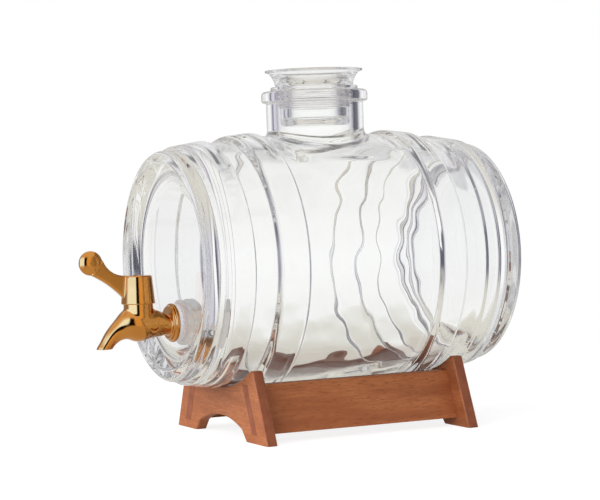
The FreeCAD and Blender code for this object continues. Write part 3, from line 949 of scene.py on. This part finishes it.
    def neck(self, skin: Skin, edge: Sequence[int], inner_edge: Sequence[int]) -> None:
        """Join outside and inside by the flared foot, the neck, the lip and the bore.

        Args:
            skin: the skin to add to.
            edge: numbers of the points round the outer patch.
            inner_edge: numbers of those round the inner patch.
        """
        plan = np.array([skin.points[i][:2] for i in edge])
        target = np.array([skin.points[i][:2] for i in inner_edge])
        angles = np.arctan2(plan[:, 1], plan[:, 0])
        ways = np.stack((np.cos(angles), np.sin(angles)), axis=1)

        def on_wall(spots: np.ndarray, radius_at: RadiusAt) -> np.ndarray:
            """Heights at which spots of the plan lie on a wall."""
            return np.array([math.sqrt(radius_at(abs(y)) ** 2 - x * x) for x, y in spots])

        def circle(radius: float, levels: Sequence[float]) -> list[Point3]:
            """Points round the neck at their own heights."""
            return [(radius * c, radius * s, z) for (c, s), z in zip(ways, levels)]

        def patch(inner: np.ndarray, outer: np.ndarray, radius_at: RadiusAt,
                  steps: int) -> list[list[Point3]]:
            """Rows on a wall from one outline to the next, without the two."""
            spots = [inner + (outer - inner) * k / steps for k in range(1, steps)]
            return [[(x, y, z) for (x, y), z in zip(row, on_wall(row, radius_at))] for row in spots]

        neck, bore = self.neck_radius, self.neck_bore
        foot, wide = neck + self.neck_flare, bore + self.bore_ease
        rows = patch(plan, ways * foot, self.outer_radius, self.foot_steps)
        low, corner = (on_wall(ways * r, self.outer_radius) for r in (foot, neck))
        for t in np.arange(self.foot_steps + 1) / self.foot_steps:
            levels = soft_bend(t, low, corner, corner + self.neck_flare)
            rows.append(circle(soft_bend(t, foot, neck, neck), levels))
        for t in np.arange(1, self.straight_steps) / self.straight_steps:
            rows.append(circle(neck, (corner + self.neck_flare) * (1 - t) + self.neck_top * t))
        lip = rounded_path([
            (neck, self.neck_top),
            (neck, self.lip_under, self.lip_round),
            (self.lip_radius, self.lip_under, self.lip_round),
            (self.lip_radius, self.top, self.lip_round),
            (bore, self.top, self.bore_round),
            (bore, self.bore_top),
        ], steps=5)
        rows += [circle(radius, [z] * len(ways)) for radius, z in closer_steps(lip, self.lip_spacing)]
        inner, beyond = (on_wall(ways * r, self.inner_radius) for r in (bore, wide))
        for t in np.arange(1, self.bore_steps) / self.bore_steps:
            rows.append(circle(bore, self.bore_top * (1 - t) + (inner + self.bore_ease) * t))
        for t in np.arange(self.bore_bend_steps + 1) / self.bore_bend_steps:
            levels = soft_bend(t, inner + self.bore_ease, inner, beyond)
            rows.append(circle(soft_bend(t, bore, bore, wide), levels))
        rows += patch(ways * wide, target, self.inner_radius, self.roof_steps)
        skin.band(skin.bands(edge, rows), inner_edge)

    def front_hole(self, skin: Skin, *flats: Sequence[int]) -> None:
        """Close the front end round the tap's hole.

        Args:
            skin: the skin to add to.
            *flats: numbers of the circles round the outer and the inner flat.
        """
        edges, holes = [], []
        for flat in flats:
            rim = np.array([skin.points[i] for i in flat])
            hub = np.array((0.0, rim[0][1], -self.hole_drop))
            spokes = (rim - hub) / np.linalg.norm(rim - hub, axis=1)[:, None]
            hole = hub + spokes * self.hole_radius
            steps = range(1, self.hole_steps + 1)
            shrink = [rim + (hole - rim) * k / self.hole_steps for k in steps]
            edges.append(skin.bands(flat, shrink))
            holes.append(hole)
        way = holes[1] - holes[0]
        tube = [holes[0] + way * k / self.tube_steps for k in range(1, self.tube_steps)]
        skin.band(skin.bands(edges[0], tube), edges[1])


# ---- the lid


@dataclass
class Stopper:
    """Hollow glass stopper and its silicone seal, in millimetres.

    Corners of outlines are the radius, the height from the lip's top and the rounding.
    """

    glass: bpy.types.Material
    silicone: bpy.types.Material
    lip_level: float = 148.4
    count: int = 144
    crease: float = 45.0
    stub: Corners = ((0.0, -15.6), (15.2, -15.6, 1.5), (15.2, -7.8, 0.35), (14.0, -7.8))
    stub_spacing: float = 2.5
    stub_top: Corners = ((14.0, -3.0), (14.0, 1.9))
    waist: Point2 = (17.2, 1.9)
    flare: Point2 = (19.9, 7.8)
    flare_sag: float = 0.64
    flare_steps: int = 10
    brim: Corners = ((21.5, 8.4, 0.35), (21.5, 9.2, 0.35), (19.3, 9.2, 0.35))
    cup: float = 11.4
    cup_floor: float = -14.4
    cup_round: float = 3.0
    cup_spacing: float = 2.0
    sleeve: Corners = (
        (14.05, 1.85), (14.05, -7.75), (15.6, -7.75, 0.35), (15.6, 0.1), (19.2, 0.1, 0.6),
        (19.2, 1.85, 0.6), (14.3, 1.85))
    sleeve_spacing: float = 1.5
    rib_count: int = 4
    rib_pitch: float = 1.5
    first_rib: float = 1.85
    rib_radius: float = 16.45
    rib_half: float = 0.38
    rib_points: int = 96
    rib_sides: int = 8

    def build(self) -> None:
        """Make the stopper, the seal's sleeve and its ribs."""
        shift = (AXIS.x, AXIS.y, self.lip_level)
        below = rounded_path(self.stub)
        above = rounded_path([
            self.flare, *self.brim, (self.cup, self.waist[1], self.cup_round),
            (self.cup, self.cup_floor, self.cup_round), (0.0, self.cup_floor),
        ])
        path = closer_steps(below, self.stub_spacing) + [*self.stub_top, self.waist]
        path += bowed_run(self.waist, self.flare, self.flare_sag, self.flare_steps)
        path += closer_steps(above, self.cup_spacing)[1:]
        lid = lathe(path, self.count).piece("stopper_lid", shift, self.crease, self.glass)
        settle(lid, Body.LID, "clear_glass", "glass_lid")
        sleeve = closer_steps(rounded_path(self.sleeve, steps=5), self.sleeve_spacing)
        seal = lathe(sleeve, self.count).piece("seal_sleeve", shift, self.crease, self.silicone)
        settle(seal, Body.LID, "silicone", "lid_seal")
        settle(self.ribs(), Body.LID, "silicone")

    def ribs(self) -> bpy.types.Object:
        """Grow the thin ribs that grip the bore.

        Returns:
            The ribs as one piece.
        """
        tree = ShapeTree("seal_ribs", {
            "Rib Count": self.rib_count,
            "Rib Radius": self.rib_radius * MM,
            "Rib Half Thickness": self.rib_half * MM,
        })
        ring = tree.add("GeometryNodeCurvePrimitiveCircle",
                        {"Resolution": self.rib_points, "Radius": tree.size("Rib Radius")})
        rib = tree.rod(ring, "Rib Half Thickness", self.rib_sides, caps=False)
        level = (self.lip_level - self.first_rib) * MM
        line = tree.add("GeometryNodeMeshLine", {
            "Count": tree.size("Rib Count"),
            "Start Location": (AXIS.x * MM, AXIS.y * MM, level),
            "Offset": (0.0, 0.0, -self.rib_pitch * MM),
        })
        copies = tree.add("GeometryNodeInstanceOnPoints", {"Points": line, "Instance": rib})
        return tree.grow(copies, self.silicone)


# ---- the tap


@dataclass
class Tap:
    """Plated tap with its lever, washers and nut. Sizes in millimetres."""

    plating: bpy.types.Material
    soft: bpy.types.Material
    plastic: bpy.types.Material
    rubber: bpy.types.Material
    steel: bpy.types.Material
    thread_start: float = -46.6
    thread_length: float = 11.2
    thread_pitch: float = 1.25
    thread_radius: float = 5.95
    thread_half: float = 0.22
    thread_points: int = 32
    thread_sides: int = 6
    axis_height: float = 50.2
    grid: float = 0.24
    passes: int = 8

    def build(self) -> None:
        """Make the plated pieces and dress the small ones."""
        self.cast("tap_body", "tap_casting", Body.BARREL)
        self.cast("tap_lever", "lever_handle", Body.LEVER)
        settle(self.thread(), Body.BARREL, "copper_plate")
        for material, nodes in (
                (self.soft, ("outer_washer", "inner_washer")),
                (self.plastic, ("slip_washer", "shank_nut", "valve_plug")),
                (self.plating, ("plug_keeper",)),
                (self.rubber, ("plug_o_rings",)),
                (self.steel, ("lever_screw",))):
            for node in nodes:
                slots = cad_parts[node].data.materials
                slots.clear()
                slots.append(material)
                LOG.info("%s: CAD solid in %s", node, material.name)

    def cast(self, node: str, name: str, body: Body) -> None:
        """Copy a CAD node with an even mesh and the soft edges of a polished casting.

        Args:
            node: the CAD node.
            name: the new piece's name.
            body: the rigid group that it moves with.
        """
        piece = merged_copy(node, name)
        set_all(piece.modifiers.new("even", "REMESH"), mode="VOXEL", voxel_size=self.grid * MM,
                use_smooth_shade=True)
        set_all(piece.modifiers.new("soft", "SMOOTH"), factor=0.5, iterations=self.passes)
        baked(piece).data.materials.append(self.plating)
        settle(piece, body, "copper_plate", node)

    def thread(self) -> bpy.types.Object:
        """Grow the shank's thread as a spiral ridge.

        Returns:
            The ridge as one piece.
        """
        tree = ShapeTree("shank_thread", {
            "Thread Radius": self.thread_radius * MM,
            "Turns": self.thread_length / self.thread_pitch,
            "Thread Length": self.thread_length * MM,
            "Ridge Half Width": self.thread_half * MM,
        })
        radius = tree.size("Thread Radius")
        spiral = tree.add("GeometryNodeCurveSpiral", {
            "Resolution": self.thread_points, "Rotations": tree.size("Turns"),
            "Start Radius": radius, "End Radius": radius, "Height": tree.size("Thread Length"),
        })
        laid = tree.add("GeometryNodeTransform", {
            "Geometry": tree.rod(spiral, "Ridge Half Width", self.thread_sides, caps=True),
            "Translation": (0.0, self.thread_start * MM, self.axis_height * MM),
            "Rotation": (-math.pi / 2, 0.0, 0.0),
        })
        return tree.grow(laid, self.plating)


# ---- the stand


@dataclass
class Stand:
    """Beech stand: two end plates and two rails tenoned through them."""

    finishes: Mapping[Grain, tuple[bpy.types.Material, bpy.types.Material]]
    ease: float = 0.25
    crease: float = 30.0
    flat: float = 0.8
    bevel_angle: float = 35.0
    end_share: float = 0.8

    def build(self) -> None:
        """Make the four boards."""
        self.board("end_plate_front", "front_plate", Grain.ACROSS_BARREL)
        self.board("end_plate_rear", "rear_plate", Grain.ACROSS_BARREL)
        self.board("rail_left", "left_rail", Grain.ALONG_BARREL)
        self.board("rail_right", "right_rail", Grain.ALONG_BARREL)

    def board(self, node: str, name: str, grain: Grain) -> None:
        """Copy a CAD node with eased edges, and give its cut ends the end grain finish.

        Args:
            node: the CAD node.
            name: the board's name.
            grain: axis of its fibres.
        """
        board = merged_copy(node, name, self.flat)
        smooth_over(board.data, self.crease)
        set_all(board.modifiers.new("ease", "BEVEL"), width=self.ease * MM, segments=2,
                limit_method="ANGLE", angle_limit=math.radians(self.bevel_angle), harden_normals=True)
        set_all(board.modifiers.new("even", "WEIGHTED_NORMAL"), keep_sharp=True)
        mesh = baked(board).data
        for material in self.finishes[grain]:
            mesh.materials.append(material)
        for polygon in mesh.polygons:
            polygon.material_index = int(abs(polygon.normal[grain.value]) > self.end_share)
        settle(board, Body.STAND, "beech", node)


# ---- the studio


@dataclass(frozen=True)
class PhotoCamera:
    """Camera of the photograph: angles, focal length and where the barrel's middle falls."""

    turn: float = 64.4811
    dip: float = 2.1105
    roll: float = -1.8537
    focal_px: float = 2066.34
    middle_px: Point2 = (319.4875, 258.6059)
    frame_px: Point2 = (600.0, 500.0)
    distance: float = 16.3083 * 56.0
    sensor: float = 36.0

    def build(self) -> None:
        """Put the camera in the scene."""
        a, p, r = (math.radians(x) for x in (self.turn, self.dip, self.roll))
        ahead = Vector((-math.sin(a) * math.cos(p), math.cos(a) * math.cos(p), -math.sin(p)))
        right = Vector((math.cos(a), math.sin(a), 0.0))
        up = right.cross(ahead)
        right, up = right * math.cos(r) + up * math.sin(r), up * math.cos(r) - right * math.sin(r)
        across = (self.middle_px[0] - self.frame_px[0] / 2) / self.focal_px * self.distance
        above = (self.frame_px[1] / 2 - self.middle_px[1]) / self.focal_px * self.distance
        eye = AXIS - right * across - up * above - ahead * self.distance
        data = set_all(bpy.data.cameras.new("photo_camera"), sensor_width=self.sensor,
                       sensor_fit="HORIZONTAL", lens=self.focal_px * self.sensor / self.frame_px[0],
                       clip_start=0.05, clip_end=50.0)
        camera = show("photo_camera", data)
        turn = Matrix((right, up, -ahead)).transposed().to_4x4()
        camera.matrix_world = Matrix.Translation(eye * MM) @ turn
        bpy.context.scene.camera = camera


@dataclass(frozen=True)
class Ways:
    """How far a ray points ahead of the lens, to its right and up, each from -1 to 1."""

    ahead: Wire
    side: Wire
    up: Wire


@dataclass
class Studio:
    """Pale floor, the room that glass and metal show, and one wide soft lamp. Sizes in metres.

    An edge is where one part of the room gives way to the next, and how soft that is.
    """

    view_turn: float = PhotoCamera.turn
    room_level: float = 0.5
    lamp_azimuth: float = 275.0
    lamp_elevation: float = 26.0
    lamp_distance: float = 1.5
    lamp_height: float = 0.08
    lamp_size: Point2 = (2.4, 1.5)
    lamp_radiance: float = 2.4
    floor_radius: float = 0.6
    floor_sides: int = 64
    floor_drop: float = 0.00005
    floor_tone: Colour = (0.86, 0.86, 0.86)
    # share of the floor that glows: to the camera it keeps the floor evenly white, to glass and metal
    # it is painted light over the floor's shade
    floor_glow: float = 0.6
    floor_lift: float = 0.4
    fade_edge: Point2 = (0.34, 0.36)
    front_edge: Point2 = (0.0, 0.3)
    side_edge: Point2 = (0.0, 0.6)
    roof_edge: Point2 = (0.62, 0.3)
    veil_edge: Point2 = (0.19, 0.16)
    veil_share: float = 0.5
    ceiling: Colour = (0.97, 0.97, 0.96)
    backdrop: Colour = (1.0, 1.0, 0.99)
    lilac: Colour = (0.64, 0.62, 0.71)
    flag: Colour = (0.07, 0.07, 0.10)
    wall: Colour = (0.84, 0.84, 0.85)
    left_bank: Colour = (1.4, 2.7, 7.2)
    right_bank: Colour = (1.04, 0.92, 0.66)
    dim_bank: Colour = (0.42, 0.42, 0.42)
    # painted light: the warm tone that glass and metal see on the floor near the object, standing in
    # for its shade and the light the wood throws on it
    painted_floor_light: Colour = (0.72, 0.695, 0.62)
    gap: Colour = (0.012, 0.01, 0.01)
    veil: Colour = (0.60, 0.595, 0.63)
    dusk: Colour = (0.17, 0.17, 0.18)
    sheen: Colour = (0.60, 0.60, 0.60)

    def build(self) -> None:
        """Make the surroundings."""
        self.surroundings()
        self.floor()
        self.lamp()

    def directions(self, graph: Graph) -> Ways:
        """Split the direction that a ray leaves in.

        Args:
            graph: the world's tree.

        Returns:
            Its three parts.
        """
        where = graph.add("ShaderNodeTexCoord", out="Object")
        c, s = math.cos(math.radians(self.view_turn)), math.sin(math.radians(self.view_turn))
        ways = ((-s, c, 0.0), (c, s, 0.0), (0.0, 0.0, 1.0))
        return Ways(*(graph.add("ShaderNodeVectorMath", {0: where, 1: way}, out="Value",
                                operation="DOT_PRODUCT") for way in ways))

    def glass_room(self, graph: Graph, ways: Ways) -> Wire:
        """Colour of the room for rays that come through glass.

        Args:
            graph: the world's tree.
            ways: where a ray points.

        Returns:
            The colour as a wire.
        """
        behind = graph.add("ShaderNodeValToRGB", {0: 0.5 + 0.5 * ways.side}, stops=[
            (0.04, self.flag), (0.10, self.lilac), (0.15, self.lilac), (0.19, self.flag),
            (0.25, self.lilac), (0.32, self.backdrop), (0.64, self.backdrop), (0.73, self.lilac),
            (0.80, self.flag),
        ])
        before = graph.add("ShaderNodeValToRGB", {0: abs(ways.side)}, stops=[
            (0.0, self.backdrop), (0.6, self.backdrop), (0.9, self.wall),
        ])
        level = graph.mix(ways.ahead.above(*self.front_edge), before, behind)
        veiled = graph.mix(ways.up.above(*self.veil_edge) * self.veil_share, level, self.veil)
        return graph.mix(ways.up.above(*self.roof_edge), veiled, self.dusk)

    def metal_room(self, graph: Graph, ways: Ways) -> Wire:
        """Colour of the room for mirrored rays: a bright bank, a dark gap and a dimmer bank.

        Args:
            graph: the world's tree.
            ways: where a ray points.

        Returns:
            The colour as a wire.
        """
        banks = graph.add("ShaderNodeValToRGB", {0: 0.5 + 0.5 * ways.side}, stops=[
            (0.0, self.dim_bank), (0.03, self.left_bank), (0.41, self.left_bank), (0.46, self.gap),
            (0.58, self.gap), (0.64, self.right_bank), (0.78, self.right_bank),
            (0.88, self.dim_bank), (1.0, self.dim_bank),
        ])
        beyond = graph.mix(ways.side.above(*self.side_edge), self.dim_bank, self.backdrop)
        level = graph.mix(ways.ahead.above(*self.front_edge), banks, beyond)
        return graph.mix(ways.up.above(*self.roof_edge), level, self.ceiling)

    def surroundings(self) -> None:
        """Make the world white to the eye and a plain light for the object."""
        world = bpy.data.worlds.new("white_room")
        world.use_nodes = True
        bpy.context.scene.world = world
        graph = Graph(world.node_tree)
        ways = self.directions(graph)
        straight = graph.add("ShaderNodeLightPath", out="Is Camera Ray")
        mirrored, through, sharp = (straight.sibling(f"Is {name} Ray")
                                    for name in ("Glossy", "Transmission", "Singular"))
        mirror = graph.mix(sharp, self.metal_room(graph, ways), self.sheen)
        room = graph.mix(through, mirror, self.glass_room(graph, ways))
        plain = graph.mix(straight, (self.room_level,) * 3, WHITE)
        colour = graph.mix(mirrored + through, plain, room)
        back = graph.add("ShaderNodeBackground", {"Color": colour, "Strength": 1.0})
        graph.add("ShaderNodeOutputWorld", {"Surface": back})

    def floor(self) -> None:
        """Lay a plain pale floor that keeps the object's shadow and fades into the room; to glass and
        metal it shows a painted warm light that lifts that shade.
        """
        mesh = bpy.data.meshes.new("floor")
        work = bmesh.new()
        bmesh.ops.create_circle(work, cap_ends=True, radius=self.floor_radius,
                                segments=self.floor_sides)
        work.to_mesh(mesh)
        work.free()
        mesh.transform(Matrix.Translation((0.0, 0.0, -self.floor_drop)))
        floor = show("floor", mesh)
        surface = Surface("pale_floor")
        where = surface.add("ShaderNodeTexCoord", out="Object")
        far = surface.add("ShaderNodeVectorMath", {0: where}, out="Value", operation="LENGTH")
        straight = surface.add("ShaderNodeLightPath", out="Is Camera Ray")
        bent = straight.sibling("Is Glossy Ray") + straight.sibling("Is Transmission Ray")
        matt = surface.add("ShaderNodeBsdfDiffuse", {"Color": self.floor_tone})
        white = surface.add("ShaderNodeEmission", {
            "Color": surface.mix(straight, self.painted_floor_light, WHITE),
            "Strength": 1.0 + self.floor_lift * straight,
        })
        # painted light: for glass and metal rays the floor glows by this share in the painted warm
        # tone, which lifts the shade under the object
        painted_glow = (straight + bent) * self.floor_glow
        near = surface.add("ShaderNodeMixShader", {0: painted_glow, 1: matt, 2: white})
        clear = surface.add("ShaderNodeBsdfTransparent")
        faded = far.above(*self.fade_edge)
        cover = surface.add("ShaderNodeMixShader", {0: faded, 1: near, 2: clear})
        surface.add("ShaderNodeOutputMaterial", {"Surface": cover})
        mesh.materials.append(surface.material)

    def lamp(self) -> None:
        """Hang the wide soft lamp, which the object's own glass and metal don't show."""
        wide, high = self.lamp_size
        data = set_all(bpy.data.lights.new("wide_soft_lamp", "AREA"), shape="RECTANGLE", size=wide,
                       size_y=high, energy=self.lamp_radiance * math.pi * wide * high)
        a, e = math.radians(self.lamp_azimuth), math.radians(self.lamp_elevation)
        way = Vector((math.cos(a) * math.cos(e), math.sin(a) * math.cos(e), math.sin(e)))
        set_all(show("wide_soft_lamp", data),
                location=way * self.lamp_distance + Vector((0.0, 0.0, self.lamp_height)),
                rotation_euler=way.to_track_quat("Z", "Y").to_euler(),
                visible_camera=False, visible_glossy=False, visible_transmission=False)


def beech_stand() -> Stand:
    """Choose the stand's finishes.

    Returns:
        The stand, ready to build.
    """
    ends = (0.36, 0.11, 0.046), (0.26, 0.072, 0.028), (0.12, 0.03, 0.011)
    faces = {
        Grain.ACROSS_BARREL:
            ("plate", (0.55, 0.19, 0.068), (0.36, 0.108, 0.035), (0.18, 0.045, 0.014)),
        Grain.ALONG_BARREL:
            ("rail", (0.60, 0.205, 0.072), (0.40, 0.118, 0.038), (0.15, 0.04, 0.014)),
    }
    return Stand({
        grain: (Beech(f"{name}_beech", grain, *tones).material(),
                Beech(f"{name}_end_grain", grain, *ends, stretch=0.8).material())
        for grain, (name, *tones) in faces.items()
    })


def plated_tap() -> Tap:
    """Choose the finishes of the tap and its small pieces.

    Returns:
        The tap, ready to build.
    """
    small = (
        # painted light: the washers and the white moulding glow a little, which lifts the shade on
        # them behind the flange and the glass
        Moulded("soft_washer", (0.92, 0.88, 0.87), (0.88, 0.84, 0.83), rough=0.30, painted_glow=0.18),
        Moulded("white_moulding", (0.88, 0.88, 0.86), (0.82, 0.82, 0.80), rough=0.35, painted_glow=0.24),
        Moulded("ring_rubber", (0.05, 0.05, 0.05), (0.03, 0.03, 0.03), rough=0.55),
        Moulded("screw_steel", (0.66, 0.66, 0.68), (0.55, 0.55, 0.57), rough=0.22, metallic=1.0),
    )
    return Tap(Plating().material(), *(finish.material() for finish in small))


def main() -> None:
    """Build every piece and the studio."""
    logging.basicConfig(level=logging.INFO, format="%(message)s")
    scene = bpy.context.scene
    scene.view_settings.view_transform = "Standard"
    PhotoCamera().build()
    BarrelGlass(PressedGlass("pressed_glass").material()).build()
    Stopper(PressedGlass("stopper_glass", wave_height=0.01).material(), Silicone().material()).build()
    plated_tap().build()
    beech_stand().build()
    Studio().build()
    set_all(scene.cycles, max_bounces=BOUNCES, transmission_bounces=BOUNCES, glossy_bounces=BOUNCES)


if __name__ == "__main__":
    main()
